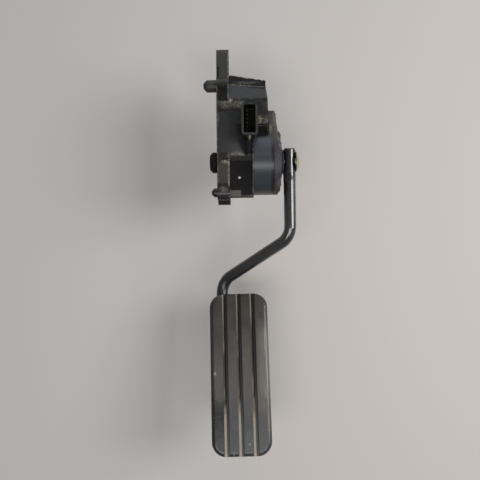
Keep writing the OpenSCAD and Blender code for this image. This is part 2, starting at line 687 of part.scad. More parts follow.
// Groove with a sloping left side and a narrow slot at its right
module groove() translate([0, 0, -pad_l - 1]) linear_extrude(pad_l + 2)
    polygon([[-groove_w / 2 - 0.3, -1], [-groove_w / 2, 0.3], [-0.1, groove_depth],
        [groove_w / 2 - 0.3, groove_depth], [groove_w / 2, -1]]);

module pedal_pad() color("#45443f") on_pad() difference() {
    union() {
        difference() {
            pad_shell();
            pad_pocket();
        }
        translate([-rod_offset, rod_depth, -rod_seat - 4]) cylinder(h = rod_seat - 2, r = sleeve_r);
        translate([-rod_offset - sleeve_r, pad_plate - 1, -rod_seat - 4])
            cube([2 * sleeve_r, rod_depth - pad_plate + 1, rod_seat - 2]);
    }
    for (i = [-1:1]) translate([i * groove_pitch, 0, 0]) groove();
    translate([-rod_offset, rod_depth, -rod_seat]) cylinder(h = rod_seat + 20, d = rod_d + 0.06);
}

housing();
bolt_sleeves();
sensor_cover();
left_bush();
shaft_seal();
sensor_board();
connector_pins();
side_cover();
cover_screws();
right_bush();
friction_washer();
outer_spring();
inner_spring();
idle_bumper();
full_travel_bumper();
spring_hub();
shaft_cap();
wiper_carrier();
wiper_contacts();
arm_rod();
pivot_rivet();
rivet_washer();
pedal_pad();
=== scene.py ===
import json
import math
import bpy
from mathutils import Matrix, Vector

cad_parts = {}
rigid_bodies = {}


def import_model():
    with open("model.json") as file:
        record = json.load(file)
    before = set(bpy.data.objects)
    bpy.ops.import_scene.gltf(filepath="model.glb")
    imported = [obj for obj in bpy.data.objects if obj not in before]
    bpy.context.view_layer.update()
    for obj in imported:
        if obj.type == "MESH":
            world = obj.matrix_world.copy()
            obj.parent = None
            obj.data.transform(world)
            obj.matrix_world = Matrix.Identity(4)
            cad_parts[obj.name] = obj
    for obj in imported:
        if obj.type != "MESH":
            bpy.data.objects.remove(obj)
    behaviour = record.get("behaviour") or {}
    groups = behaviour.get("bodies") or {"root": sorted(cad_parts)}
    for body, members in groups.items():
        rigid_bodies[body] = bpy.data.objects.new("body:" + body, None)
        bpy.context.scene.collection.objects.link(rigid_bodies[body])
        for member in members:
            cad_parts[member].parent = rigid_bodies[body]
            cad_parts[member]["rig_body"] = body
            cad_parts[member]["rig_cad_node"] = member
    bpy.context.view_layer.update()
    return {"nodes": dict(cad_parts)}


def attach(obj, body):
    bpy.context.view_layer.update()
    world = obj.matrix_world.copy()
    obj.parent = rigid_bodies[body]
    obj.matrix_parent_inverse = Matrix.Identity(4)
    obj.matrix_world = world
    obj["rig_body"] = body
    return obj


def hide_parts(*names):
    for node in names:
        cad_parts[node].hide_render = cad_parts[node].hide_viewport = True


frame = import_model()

nodes = frame["nodes"]
scene = bpy.context.scene
mm = 0.001
print("frame loaded:", len(nodes), "nodes")


# small helpers for shader trees
def addNode(tree, kind, **settings):
    node = tree.nodes.new(kind)
    for name, value in settings.items():
        setattr(node, name, value)
    return node


def feed(tree, value, socket):
    # a socket is linked, anything else is typed in
    if isinstance(value, bpy.types.NodeSocket):
        tree.links.new(value, socket)
    else:
        socket.default_value = value


def mathNode(tree, operation, first, second=0.0, clamp=False):
    node = addNode(tree, "ShaderNodeMath", operation=operation, use_clamp=clamp)
    feed(tree, first, node.inputs[0])
    feed(tree, second, node.inputs[1])
    return node.outputs[0]


def times(tree, first, second):
    return mathNode(tree, "MULTIPLY", first, second)


def most(tree, first, second):
    return mathNode(tree, "MAXIMUM", first, second)


def vectorNode(tree, operation, first, second=(0, 0, 0)):
    node = addNode(tree, "ShaderNodeVectorMath", operation=operation)
    feed(tree, first, node.inputs[0])
    feed(tree, second, node.inputs[1])
    return node.outputs


def splitNode(tree, vector):
    node = addNode(tree, "ShaderNodeSeparateXYZ")
    feed(tree, vector, node.inputs[0])
    return node.outputs


def rampNode(tree, value, low, high):
    node = addNode(tree, "ShaderNodeMapRange", interpolation_type="SMOOTHSTEP")
    feed(tree, value, node.inputs["Value"])
    feed(tree, low, node.inputs["From Min"])
    feed(tree, high, node.inputs["From Max"])
    return node.outputs["Result"]


def mixNode(tree, kind, amount, first, second):
    node = addNode(tree, "ShaderNodeMix", data_type=kind)
    feed(tree, amount, node.inputs["Factor"])
    feed(tree, first, node.inputs["A"])
    feed(tree, second, node.inputs["B"])
    return node.outputs["Result"]


def mixColor(tree, amount, first, second):
    return mixNode(tree, "RGBA", amount, first, second)


def mixValue(tree, amount, first, second):
    return mixNode(tree, "FLOAT", amount, first, second)


def noiseNode(tree, place, scale, detail=3.0, roughness=0.5):
    node = addNode(tree, "ShaderNodeTexNoise")
    feed(tree, place, node.inputs["Vector"])
    feed(tree, scale, node.inputs["Scale"])
    node.inputs["Detail"].default_value = detail
    node.inputs["Roughness"].default_value = roughness
    return node.outputs["Fac"]


def startGroup(name, inputs, outputs):
    group = bpy.data.node_groups.new(name, "ShaderNodeTree")
    for label, kind, value in inputs:
        socket = group.interface.new_socket(label, in_out="INPUT", socket_type=kind)
        socket.default_value = value
    for label, kind in outputs:
        group.interface.new_socket(label, in_out="OUTPUT", socket_type=kind)
    given = addNode(group, "NodeGroupInput").outputs
    out = addNode(group, "NodeGroupOutput").inputs
    return group, given, out


def useGroup(tree, group, **values):
    node = addNode(tree, "ShaderNodeGroup", node_tree=group)
    for name, value in values.items():
        feed(tree, value, node.inputs[name])
    return node.outputs


# shared effects; each dictionary holds noise scales, noise detail, and ranges for ramps
placeSocket = ("Place", "NodeSocketVector", (0, 0, 0))
centerSocket = ("Center", "NodeSocketVector", (0, 0, 0))
maskSocket = ("Mask", "NodeSocketFloat")
grainShape = {"fine": (4.0, 0.6), "slowScale": 38.0, "slow": (3.0, 0.55), "tone": (0.3, 0.72)}
patchShape = {"fade": (1.0, 0.3), "grain": (6.0, 0.75), "lift": 0.12, "cut": (0.5, 0.66),
              "thick": 0.75, "haze": 0.25}
filmShape = {"scale": 130.0, "cloud": (5.0, 0.62), "cut": (0.42, 0.78), "lookUp": 0.5,
             "always": 0.6, "speckScale": 1500.0, "speck": (2.0, 0.5), "speckCut": (0.68, 0.76)}
wearAndHighlightShape = {"edge": (0.52, 0.6), "scale": 260.0, "grain": (4.0, 0.6), "cut": (0.35, 0.7)}


def makeGrainGroup():
    # fine moulded skin with slow tone changes
    shape = grainShape
    group, given, out = startGroup(
        "mouldedGrain", [placeSocket, ("Scale", "NodeSocketFloat", 900.0)],
        [("Height", "NodeSocketFloat"), ("Tone", "NodeSocketFloat")])
    fine = noiseNode(group, given["Place"], given["Scale"], *shape["fine"])
    slow = noiseNode(group, given["Place"], shape["slowScale"], *shape["slow"])
    feed(group, fine, out["Height"])
    feed(group, rampNode(group, slow, *shape["tone"]), out["Tone"])
    return group


def makeSpotGroup():
    # soft patch round a point, broken up by noise
    shape = patchShape
    group, given, out = startGroup(
        "dustPatch",
        [placeSocket, centerSocket, ("Reach", "NodeSocketVector", (0.01, 0.01, 0.01)),
         ("Strength", "NodeSocketFloat", 1.0), ("Specks", "NodeSocketFloat", 700.0)],
        [maskSocket])
    offset = vectorNode(group, "SUBTRACT", given["Place"], given["Center"])["Vector"]
    shrunk = vectorNode(group, "DIVIDE", offset, given["Reach"])["Vector"]
    length = vectorNode(group, "LENGTH", shrunk)["Value"]
    near = rampNode(group, length, *shape["fade"])
    grains = noiseNode(group, given["Place"], given["Specks"], *shape["grain"])
    grains = mathNode(group, "ADD", grains, times(group, near, shape["lift"]))
    grains = times(group, rampNode(group, grains, *shape["cut"]), shape["thick"])
    thick = times(group, near, mathNode(group, "ADD", grains, shape["haze"]))
    feed(group, times(group, thick, given["Strength"]), out["Mask"])
    return group


def makeBoxGroup():
    # inside of a box with soft sides, its z sheared along x by the slope
    group, given, out = startGroup(
        "boxMask",
        [placeSocket, centerSocket, ("Half", "NodeSocketVector", (0.01, 0.01, 0.01)),
         ("Slope", "NodeSocketFloat", 0.0), ("Soft", "NodeSocketFloat", 0.06)],
        [maskSocket])
    offset = vectorNode(group, "SUBTRACT", given["Place"], given["Center"])["Vector"]
    offset = splitNode(group, offset)
    sheared = addNode(group, "ShaderNodeCombineXYZ")
    for name in "XY":
        feed(group, offset[name], sheared.inputs[name])
    fall = times(group, offset["X"], given["Slope"])
    feed(group, mathNode(group, "SUBTRACT", offset["Z"], fall), sheared.inputs["Z"])
    shrunk = vectorNode(group, "DIVIDE", sheared.outputs["Vector"], given["Half"])["Vector"]
    parts = splitNode(group, vectorNode(group, "ABSOLUTE", shrunk)["Vector"])
    far = most(group, most(group, parts["X"], parts["Y"]), parts["Z"])
    solid = mathNode(group, "SUBTRACT", 1.0, given["Soft"])
    feed(group, rampNode(group, far, 1.0, solid), out["Mask"])
    return group


def makeTreadGroup():
    # place on the pad: mm across it, down it and into its grooves
    names = ("Across", "Down", "Depth")
    group, given, out = startGroup(
        "treadPlace", [placeSocket], [(name, "NodeSocketFloat") for name in names])
    offset = vectorNode(group, "SUBTRACT", given["Place"], inMetres(padFrame["origin"]))["Vector"]
    for name in names:
        along = vectorNode(group, "DOT_PRODUCT", offset, padFrame[name])["Value"]
        feed(group, times(group, along, 1 / mm), out[name])
    return group


def makeDustGroup():
    # thin dust film, thicker on faces that look up, with loose specks
    shape = filmShape
    group, given, out = startGroup(
        "dustFilm",
        [placeSocket, ("Film", "NodeSocketFloat", 0.2), ("Specks", "NodeSocketFloat", 0.3)],
        [maskSocket])
    cloud = noiseNode(group, given["Place"], shape["scale"], *shape["cloud"])
    cloud = rampNode(group, cloud, *shape["cut"])
    faces = splitNode(group, addNode(group, "ShaderNodeNewGeometry").outputs["Normal"])
    upward = times(group, faces["Z"], shape["lookUp"])
    upward = mathNode(group, "ADD", upward, shape["always"], clamp=True)
    film = times(group, times(group, cloud, upward), given["Film"])
    specks = noiseNode(group, given["Place"], shape["speckScale"], *shape["speck"])
    specks = times(group, rampNode(group, specks, *shape["speckCut"]), given["Specks"])
    feed(group, most(group, film, specks), out["Mask"])
    return group


def makeWearAndHighlightGroup():
    # lighter edges from rubbing, read from the mesh's own curvature; partly real rubbing and partly
    # a painted highlight along the edges
    shape = wearAndHighlightShape
    group, given, out = startGroup(
        "edgeWearAndHighlight", [placeSocket, ("Amount", "NodeSocketFloat", 0.5)], [maskSocket])
    bend = addNode(group, "ShaderNodeNewGeometry").outputs["Pointiness"]
    sharp = rampNode(group, bend, *shape["edge"])
    breakup = noiseNode(group, given["Place"], shape["scale"], *shape["grain"])
    wearAndSheen = times(group, sharp, rampNode(group, breakup, *shape["cut"]))
    feed(group, times(group, wearAndSheen, given["Amount"]), out["Mask"])
    return group


def inMetres(values):
    return [value * mm for value in values]


# the pad's own directions, and its origin in mm
padFrame = {"origin": (14.92, 23.58, -139.22), "Across": (0.9999, 0.0031, 0.0136),
            "Down": (0.014, -0.2249, -0.9743), "Depth": (0.0, 0.9744, -0.2250)}
mouldedGrain = makeGrainGroup()
treadPlace = makeTreadGroup()
dustPatch = makeSpotGroup()
boxMask = makeBoxGroup()
dustFilm = makeDustGroup()
edgeWearAndHighlight = makeWearAndHighlightGroup()
print("shared effects made")


# what the materials share
dustLook = {"dark": (0.09, 0.083, 0.068, 1), "light": (0.32, 0.295, 0.245, 1),
            "scale": 500.0, "grain": (4.0, 0.6), "cut": (0.4, 0.62), "rough": 0.35}
lineLook = {"scale": 420.0, "cut": (0.36, 0.6)}
# colour and roughness of the painted shade boxes
paintedShadeLook = {"color": (0.0003, 0.0003, 0.0003, 1), "rough": 0.95}


def startMaterial(name):
    material = bpy.data.materials.new(name)
    material.use_nodes = True
    tree = material.node_tree
    shader = tree.nodes["Principled BSDF"]
    place = addNode(tree, "ShaderNodeTexCoord").outputs["Object"]
    return material, tree, shader, place


def addBump(tree, shader, height, strength, distance):
    bump = addNode(tree, "ShaderNodeBump")
    feed(tree, height, bump.inputs["Height"])
    bump.inputs["Strength"].default_value = strength
    bump.inputs["Distance"].default_value = distance
    feed(tree, bump.outputs["Normal"], shader.inputs["Normal"])


def filmMask(tree, place, look):
    return useGroup(tree, dustFilm, Place=place, Film=look["film"], Specks=look["specks"])["Mask"]


def wearAndHighlightMask(tree, place, look):
    return useGroup(tree, edgeWearAndHighlight, Place=place, Amount=look["wearAndHighlight"])["Mask"]


def boxAt(tree, place, center, half, **more):
    return useGroup(tree, boxMask, Place=place, Center=inMetres(center), Half=inMetres(half),
                    **more)["Mask"]


def addPatches(tree, place, mask, patches, specks):
    for center, reach, strength in patches:
        spot = useGroup(tree, dustPatch, Place=place, Center=inMetres(center),
                        Reach=inMetres(reach), Strength=strength, Specks=specks)["Mask"]
        mask = most(tree, mask, spot)
    return mask


def addDustRough(tree, rough, mask):
    return mathNode(tree, "ADD", rough, times(tree, mask, dustLook["rough"]), clamp=True)


def plasticMaterial(name, look, patches=()):
    material, tree, shader, place = startMaterial(name)
    grain = useGroup(tree, mouldedGrain, Place=place, Scale=look["grain"])
    color = mixColor(tree, grain["Tone"], look["dark"], look["light"])
    # edges made lighter: rubbing and a painted edge highlight
    color = mixColor(tree, wearAndHighlightMask(tree, place, look), color, look["rubbedAndHighlight"])
    mask = filmMask(tree, place, look)
    rough = look["rough"]
    for center, half, tone, dull, soft in look["tones"]:
        box = boxAt(tree, place, center, half, Soft=soft)
        color = mixColor(tree, box, color, tone)
        rough = mixValue(tree, box, rough, dull)
    mask = addPatches(tree, place, mask, patches, look["patchSpecks"])
    # dust and painted edge highlights along thin boxes, broken by noise
    for center, half, slope, strength in look["dustAndLitEdgeLines"]:
        box = boxAt(tree, place, center, half, Slope=slope)
        broken = rampNode(tree, noiseNode(tree, place, lineLook["scale"]), *lineLook["cut"])
        mask = most(tree, mask, times(tree, box, times(tree, broken, strength)))
    dust = noiseNode(tree, place, dustLook["scale"], *dustLook["grain"])
    dust = rampNode(tree, dust, *dustLook["cut"])
    dust = mixColor(tree, dust, dustLook["dark"], dustLook["light"])
    color = mixColor(tree, mask, color, dust)
    rough = addDustRough(tree, rough, mask)
    # painted shade: these boxes are made nearly black and matte
    for center, half in look["paintedShadeBoxes"]:
        box = boxAt(tree, place, center, half)
        color = mixColor(tree, box, color, paintedShadeLook["color"])
        rough = mixValue(tree, box, rough, paintedShadeLook["rough"])
    feed(tree, color, shader.inputs["Base Color"])
    feed(tree, rough, shader.inputs["Roughness"])
    shader.inputs["Specular IOR Level"].default_value = look["gloss"]
    addBump(tree, shader, grain["Height"], look["bump"], 0.2 * mm)
    return material


def metalMaterial(name, look, rod=None):
    material, tree, shader, place = startMaterial(name)
    grain = useGroup(tree, mouldedGrain, Place=place, Scale=look["grain"])
    color = mixColor(tree, grain["Tone"], look["dark"], look["light"])
    grime = filmMask(tree, place, look)
    feed(tree, mixColor(tree, grime, color, look["grime"]), shader.inputs["Base Color"])
    rough = mathNode(tree, "ADD", look["rough"], times(tree, grime, look["grimeRough"]), clamp=True)
    shader.inputs["Metallic"].default_value = look["metal"]
    if rod:
        # the coat is worn off the rod's foot and the left of its collar
        parts = splitNode(tree, place)
        foot = rampNode(tree, parts["Z"], *rod["foot"])
        away = mathNode(tree, "ABSOLUTE", mathNode(tree, "SUBTRACT", parts["Z"], rod["collar"]))
        collar = times(tree, rampNode(tree, away, *rod["collarFade"]),
                       rampNode(tree, parts["X"], *rod["collarSide"]))
        coat = mathNode(tree, "SUBTRACT", look["coat"], most(tree, foot, collar), clamp=True)
        feed(tree, coat, shader.inputs["Coat Weight"])
        rough = mixValue(tree, foot, rough, rod["footRough"])
        rough = mixValue(tree, collar, rough, rod["collarRough"])
    else:
        shader.inputs["Coat Weight"].default_value = look["coat"]
    feed(tree, rough, shader.inputs["Roughness"])
    shader.inputs["Coat Roughness"].default_value = look["coatRough"]
    addBump(tree, shader, grain["Height"], look["bump"], 0.1 * mm)
    return material


# housing and side cover
housingLook = {
    "dark": (0.006, 0.0065, 0.007, 1), "light": (0.013, 0.0135, 0.014, 1),
    "rubbedAndHighlight": (0.09, 0.093, 0.095, 1),
    "grain": 1100.0, "wearAndHighlight": 0.5, "film": 0.05, "specks": 0.12, "patchSpecks": 900.0,
    "rough": 0.28, "gloss": 0.36, "bump": 0.09,
    # center, half size (mm), colour, roughness and softness of the border
    "tones": [
        ((12, -20, -8), (11.4, 8, 16.5), (0.011, 0.012, 0.013, 1), 0.5, 0.06),
        ((5, -20, -40), (4.7, 8, 8.5), (0.025, 0.024, 0.019, 1), 0.5, 0.06),
        # painted shade: the flange face below the upper pin, made nearly black
        ((5, -20, 24), (4.8, 8, 7), (0.0015, 0.0014, 0.0015, 1), 0.95, 0.06),
        # painted shade: the recessed face of the lower box, made nearly black
        ((19, -15, -43), (9.6, 1, 14.2), (0.0015, 0.0015, 0.0022, 1), 0.2, 0.04),
        ((5, -10, 52), (5.5, 30, 24), (0.015, 0.0155, 0.012, 1), 0.42, 0.3),
        ((-6, -12, 31), (5.5, 6, 6), (0.024, 0.022, 0.023, 1), 0.5, 0.06),
        ((14.2, -16, -55.6), (4.6, 1.2, 2.6), (0.082, 0.078, 0.07, 1), 0.7, 0.06),
        # painted light: a bluish tint on the upper bevel face, standing in for the cooler top light
        # on it
        ((24.2, -15.5, 26), (15.2, 5.6, 7), (0.006, 0.0075, 0.01, 1), 0.34, 0.06),
        # painted highlight: the drum front is made lighter and bluish, in two boxes, standing in
        # for the band of light on it
        ((36, -1, -22), (8, 40, 11), (0.043, 0.049, 0.062, 1), 0.35, 0.3),
        ((36, -1, -42), (8, 40, 16), (0.028, 0.039, 0.045, 1), 0.3, 0.3),
        ((46, -5, 9), (4.6, 40, 26), (0.05, 0.047, 0.04, 1), 0.6, 0.6),
        ((45.1, -5, -40), (0.45, 40, 18), (0.002, 0.002, 0.002, 1), 0.6, 0.3),
        ((25.9, -36.5, -1.7), (6.6, 0.4, 11.6), (0.022, 0.022, 0.022, 1), 0.45, 0.06),
    ],
    # dust, and painted highlights on the lit top edges of the fin, the block and the ledge, as
    # center, half size (mm), slope and strength
    "dustAndLitEdgeLines": [
        ((24.3, -10.4, 38.1), (15.2, 0.9, 0.6), -0.163, 1.0),
        ((24.3, -11.5, 31.4), (15.2, 2.4, 0.55), -0.095, 0.9),
        ((9.4, -13, 36), (0.4, 12, 24), 0, 0.8), ((9.4, -21, -42), (0.5, 1.2, 18), 0, 1.0),
        ((20, -22, -25.8), (9, 1, 0.7), 0, 0.8), ((34, -21, -0.9), (6, 1, 0.6), 0, 0.7),
        ((0.6, -20, -10), (0.4, 4, 40), 0, 0.5), ((28.3, -22, -38), (0.5, 12, 18), 0, 0.4),
    ],
    # painted shade as center and half size (mm): nearly black inside the connector's mouth and on
    # the slot beside it
    "paintedShadeBoxes": [((25.9, -26, -0.4), (4.65, 12, 10.8)), ((34.6, -17, -6.2), (6, 4, 4.4))],
}
# dusty places as center, reach (mm) and strength
housingPatches = [
    ((8, -20, 14), (8, 9, 5), 0.4), ((18, -21, 14.5), (8, 8, 5), 0.5),
    ((11.5, -21, 17.5), (3, 8, 3), 0.9), ((34.5, -21, 2), (3, 8, 4.5), 0.9),
    ((39, -20, 1), (4, 8, 4), 0.4), ((42.5, -12, -5), (3, 16, 6), 0.8),
    ((9.3, -21.5, -42), (1.5, 2.5, 17), 0.9), ((5, -18, -53), (7, 9, 4.5), 0.75),
    ((25.5, -32, -14), (2.4, 7, 2.6), 0.9), ((16, -22, -25), (9, 8, 3), 0.5),
    ((38, -12, -56), (12, 14, 2.5), 0.8), ((46, -6, -2), (5, 16, 14), 0.35),
    ((1, -20, 4), (2, 6, 5), 0.5), ((6, -20, -31), (4, 8, 2.5), 0.8),
    ((24, -12, 34), (16, 12, 2), 0.3),
]
plainLook = dict(housingLook, tones=[], dustAndLitEdgeLines=[], paintedShadeBoxes=[])
coverLook = dict(plainLook, film=0.22, specks=0.5, wearAndHighlight=0.7, tones=[
    ((50, -5, -34), (6, 60, 34), (0.034, 0.034, 0.042, 1), 0.5, 0.4),
    ((47, -5, 9), (5, 60, 26), (0.056, 0.053, 0.045, 1), 0.6, 0.6),
])
coverPatches = [
    ((47.5, -5, 4), (8, 34, 22), 0.4), ((49, -8, 0), (6, 10, 10), 0.7),
    ((50, -20, -16), (4, 8, 14), 0.7), ((50, -14, -48), (5, 12, 7), 0.6),
]
housingPlastic = plasticMaterial("blackHousingPlastic", housingLook, housingPatches)
coverPlastic = plasticMaterial("dustyCoverPlastic", coverLook, coverPatches)

# shaft cap
capLook = dict(plainLook, dark=(0.006, 0.0045, 0.004, 1), light=(0.01, 0.007, 0.0065, 1),
               film=0.08, wearAndHighlight=0.3, rough=0.6, gloss=0.15)
capPlastic = plasticMaterial("blackCapPlastic", capLook)

# pad: ranges are mm down it, mm across it, or mm from a groove's middle line
padLook = {
    # painted sheen: dark at the top, lighter in the middle of the pad's length, bluish dark towards
    # its foot
    "upper": (0.024, 0.023, 0.018, 1), "middle": (0.064, 0.058, 0.052, 1),
    "lower": (0.019, 0.021, 0.027, 1), "lighten": (20.0, 75.0), "turn": (80.0, 112.0),
    "uneven": 40.0, "unevenScale": 60.0,
    "rubbedAndHighlight": (0.1, 0.098, 0.09, 1), "rubbedShare": 0.25,
    # painted sheen: a lighter strip on the right of the pad
    "wearAndSheen": (0.125, 0.12, 0.108, 1), "sheenStripAcross": (12.0, 20.0), "sheenStripFrom": (14.0, 44.0),
    "sheenStripTo": (116.0, 70.0),
    # painted shade: a darker, bluish lower left on the pad
    "lowerLeftShade": (0.003, 0.006, 0.007, 1), "cornerAcross": (-9.0, -13.0), "cornerFrom": (70.0, 100.0),
    "cornerShare": 0.85, "cornerRough": 0.2,
    # painted shade: a dark band along the pad's rounded left edge
    "side": (0.006, 0.007, 0.009, 1), "sideAcross": (-20.5, -23.5), "sideShare": 0.8,
    "grain": 1400.0, "wearAndHighlight": 0.35, "film": 0.05, "specks": 0.12, "patchSpecks": 1100.0,
    "rough": 0.33, "gloss": 0.5, "bump": 0.2,
}
grooveLook = {
    "halfPitch": 6.0, "ends": (15.2, 14.8), "top": (0.15, 0.5), "floor": (3.6, 3.3),
    # slot colour is painted shade; the slope colour is dust and painted light on the left walls
    "sides": (2.6, 2.35), "slot": (-1.1, -0.5), "slotShade": (0.0015, 0.0014, 0.0013, 1),
    "dustAndLitSlope": (0.4, 0.355, 0.285, 1), "footDown": (84.0, 108.0), "footSide": (0.15, -0.35),
    "headDown": (46.0, 8.0), "headShare": 0.55, "patchScale": 45.0, "patchCut": (0.4, 0.62),
    "patchShare": 0.4, "slopeSide": (-0.7, -1.2),
}
padScuffs = [
    ((-5.3, 8, -205.5), (1.6, 8, 2.4), 0.8), ((9.9, -2, -268), (1.3, 8, 4), 0.7),
    ((22.8, -1, -260.5), (1.8, 8, 2), 0.6), ((39.2, 0, -245), (1.2, 8, 16), 0.5),
    ((37.1, 15, -178), (0.9, 12, 17), 0.6), ((36.8, 5, -221), (0.9, 10, 6), 0.5),
]


def padSkin(tree, place, tread, down, tone, look):
    # colour of the top face, with painted sheen down its length and on its right strip, painted
    # shade on its lower left and along its left edge; also the mask of the shaded lower left
    across = tread["Across"]
    # painted sheen down the pad's length
    color = mixColor(tree, rampNode(tree, down, *look["lighten"]), look["upper"], look["middle"])
    color = mixColor(tree, rampNode(tree, down, *look["turn"]), color, look["lower"])
    color = mixColor(tree, times(tree, tone, look["rubbedShare"]), color, look["rubbedAndHighlight"])
    # painted sheen on the right strip
    wearAndSheen = times(tree, rampNode(tree, across, *look["sheenStripAcross"]),
                 rampNode(tree, down, *look["sheenStripFrom"]))
    wearAndSheen = times(tree, wearAndSheen, rampNode(tree, down, *look["sheenStripTo"]))
    color = mixColor(tree, wearAndSheen, color, look["wearAndSheen"])
    # painted shade on the pad's lower left
    lowerLeftShade = times(tree, rampNode(tree, across, *look["cornerAcross"]), look["cornerShare"])
    lowerLeftShade = times(tree, lowerLeftShade, rampNode(tree, down, *look["cornerFrom"]))
    color = mixColor(tree, lowerLeftShade, color, look["lowerLeftShade"])
    # painted shade along the left edge
    side = times(tree, rampNode(tree, across, *look["sideAcross"]), look["sideShare"])
    color = mixColor(tree, side, color, look["side"])
    return mixColor(tree, wearAndHighlightMask(tree, place, look), color, look["rubbedAndHighlight"]), lowerLeftShade


def padGrooves(tree, place, tread, down, color, look):
    # painted shade in black slots; dried dust on their left sloping walls that fills the lower
    # ends, partly standing in for light on those walls
    wrapped = addNode(tree, "ShaderNodeMath", operation="WRAP")
    values = (tread["Across"], look["halfPitch"], -look["halfPitch"])
    for value, socket in zip(values, wrapped.inputs):
        feed(tree, value, socket)
    inGroove = wrapped.outputs[0]
    inside = rampNode(tree, mathNode(tree, "ABSOLUTE", tread["Across"]), *look["ends"])
    for edge in ("top", "floor"):
        inside = times(tree, inside, rampNode(tree, tread["Depth"], *look[edge]))
    fromMiddle = mathNode(tree, "ABSOLUTE", inGroove)
    inside = times(tree, inside, rampNode(tree, fromMiddle, *look["sides"]))
    # painted shade in the slots
    slot = times(tree, inside, rampNode(tree, inGroove, *look["slot"]))
    color = mixColor(tree, slot, color, look["slotShade"])
    foot = times(tree, rampNode(tree, down, *look["footDown"]),
                 rampNode(tree, inGroove, *look["footSide"]))
    # dust and painted light on the left slopes, more near the top
    head = times(tree, rampNode(tree, down, *look["headDown"]), look["headShare"])
    patchy = rampNode(tree, noiseNode(tree, place, look["patchScale"]), *look["patchCut"])
    slope = times(tree, most(tree, head, times(tree, patchy, look["patchShare"])),
                  rampNode(tree, inGroove, *look["slopeSide"]))
    return mixColor(tree, times(tree, inside, most(tree, foot, slope)), color, look["dustAndLitSlope"])


def padMaterial(name, look):
    material, tree, shader, place = startMaterial(name)
    grain = useGroup(tree, mouldedGrain, Place=place, Scale=look["grain"])
    tread = useGroup(tree, treadPlace, Place=place)
    uneven = mathNode(tree, "SUBTRACT", noiseNode(tree, place, look["unevenScale"]), 0.5)
    down = mathNode(tree, "ADD", tread["Down"], times(tree, uneven, look["uneven"]))
    color, lowerLeftShade = padSkin(tree, place, tread, down, grain["Tone"], look)
    mask = addPatches(tree, place, filmMask(tree, place, look), padScuffs, look["patchSpecks"])
    color = mixColor(tree, mask, color, dustLook["light"])
    color = padGrooves(tree, place, tread, down, color, grooveLook)
    feed(tree, color, shader.inputs["Base Color"])
    rough = addDustRough(tree, mixValue(tree, lowerLeftShade, look["rough"], look["cornerRough"]), mask)
    feed(tree, rough, shader.inputs["Roughness"])
    shader.inputs["Specular IOR Level"].default_value = look["gloss"]
    addBump(tree, shader, grain["Height"], look["bump"], 0.2 * mm)
    return material


padPlastic = padMaterial("scuffedPadPlastic", padLook)

# inner plastics and rubber
hubPlastic = plasticMaterial("glassFilledPlastic", dict(plainLook, film=0.1))
naturalLook = dict(plainLook, dark=(0.5, 0.45, 0.33, 1), light=(0.62, 0.57, 0.44, 1),
                   wearAndHighlight=0.0, film=0.05)
naturalPlastic = plasticMaterial("naturalBushPlastic", naturalLook)
boardLook = dict(plainLook, dark=(0.02, 0.12, 0.05, 1), light=(0.03, 0.16, 0.07, 1),
                 wearAndHighlight=0.0, film=0.05)
boardLaminate = plasticMaterial("boardLaminate", boardLook)
rubberLook = dict(plainLook, dark=(0.012, 0.012, 0.012, 1), light=(0.02, 0.02, 0.02, 1),
                  rough=0.7, film=0.2)
stopRubber = plasticMaterial("stopRubber", rubberLook)

# rod, rivet and the other metal pieces
rodLook = {"dark": (0.005, 0.006, 0.008, 1), "light": (0.01, 0.012, 0.015, 1),
           "grime": (0.16, 0.14, 0.11, 1), "grimeRough": 0.4, "grain": 500.0, "film": 0.1,
           "specks": 0.2, "rough": 0.2, "metal": 0.0, "coat": 1.0, "coatRough": 0.13, "bump": 0.05}
# heights and sides in metres
rodWear = {"foot": (-0.105, -0.135), "footRough": 0.3, "collar": -0.0418,
           "collarFade": (0.0046, 0.0032), "collarSide": (0.0605, 0.0595), "collarRough": 0.95}
rodCoat = metalMaterial("glossBlackRodCoat", rodLook, rodWear)
zincLook = dict(rodLook, dark=(0.5, 0.44, 0.27, 1), light=(0.72, 0.65, 0.43, 1),
                metal=0.6, coat=0.0, rough=0.4, film=0.2)
yellowZinc = metalMaterial("yellowZincPlate", zincLook)
steelLook = dict(zincLook, dark=(0.16, 0.16, 0.16, 1), light=(0.3, 0.3, 0.295, 1))
bareSteel = metalMaterial("bareSteel", steelLook)
springLook = dict(zincLook, dark=(0.12, 0.12, 0.13, 1), light=(0.22, 0.22, 0.23, 1))
springSteel = metalMaterial("springSteel", springLook)
contactLook = dict(zincLook, dark=(0.03, 0.024, 0.013, 1), light=(0.05, 0.04, 0.022, 1),
                   film=0.0, specks=0.0, rough=0.6)
contactMetal = metalMaterial("platedContact", contactLook)
print("materials made")


# dressed copies of the moulded nodes, with rounded edges
dress = {"merge": 0.02 * mm, "flat": 0.6, "bevelFrom": 17, "smoothBelow": 22, "segments": 2}


